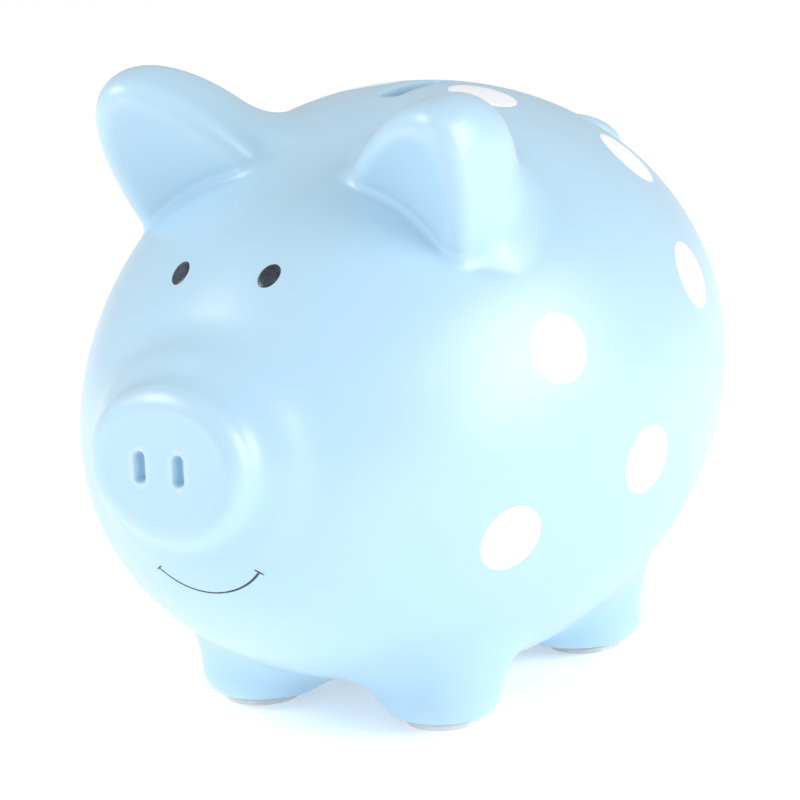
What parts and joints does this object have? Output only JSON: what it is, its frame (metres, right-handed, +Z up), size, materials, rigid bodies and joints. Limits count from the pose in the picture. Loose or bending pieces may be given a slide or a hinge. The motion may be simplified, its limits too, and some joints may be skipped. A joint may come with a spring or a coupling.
{
  "type": "piggy bank",
  "caption": "Round ceramic piggy bank with a coin slot in its back, a pull-out belly plug, stubby legs, petal ears and a polka-dot coat.",
  "frame": {"origin": "on the surface it stands on, under the middle of the whole bank", "axes": "+Z up, -Y the way the pig faces, +X towards the pig's left flank"},
  "size_m": [0.1466, 0.2128, 0.1611],
  "materials": {
    "blue_glaze": "soft satin glaze",
    "white_dots": "fired-on white, satin",
    "face_paint": "fired-on dark blue-black, satin",
    "rubber_plug": "matte, milky",
    "felt_pad": "matte, pale grey"
  },
  "bodies": {
    "bank": {"body_shell": "blue_glaze", "snout": "blue_glaze", "tail": "blue_glaze", "mouth": "face_paint", "left_ear": "blue_glaze", "left_eye": "face_paint", "front_left_leg": "blue_glaze", "front_left_foot_pad": "felt_pad", "rear_left_leg": "blue_glaze", "rear_left_foot_pad": "felt_pad", "left_shoulder_dot": "white_dots", "left_elbow_dot": "white_dots", "left_rib_dot": "white_dots", "left_hip_dot": "white_dots", "left_rump_dot": "white_dots", "left_back_dot": "white_dots", "right_ear": "blue_glaze", "right_eye": "face_paint", "front_right_leg": "blue_glaze", "front_right_foot_pad": "felt_pad", "rear_right_leg": "blue_glaze", "rear_right_foot_pad": "felt_pad", "right_shoulder_dot": "white_dots", "right_elbow_dot": "white_dots", "right_rib_dot": "white_dots", "right_hip_dot": "white_dots", "right_rump_dot": "white_dots", "right_back_dot": "white_dots"},
    "plug": {"belly_plug": "rubber_plug"}
  },
  "joints": [
    {"name": "plug_pull", "type": "slide", "parent": "bank", "child": "plug", "axis": [0, 0, -1], "range_m": [0, 0.03]}
  ]
}
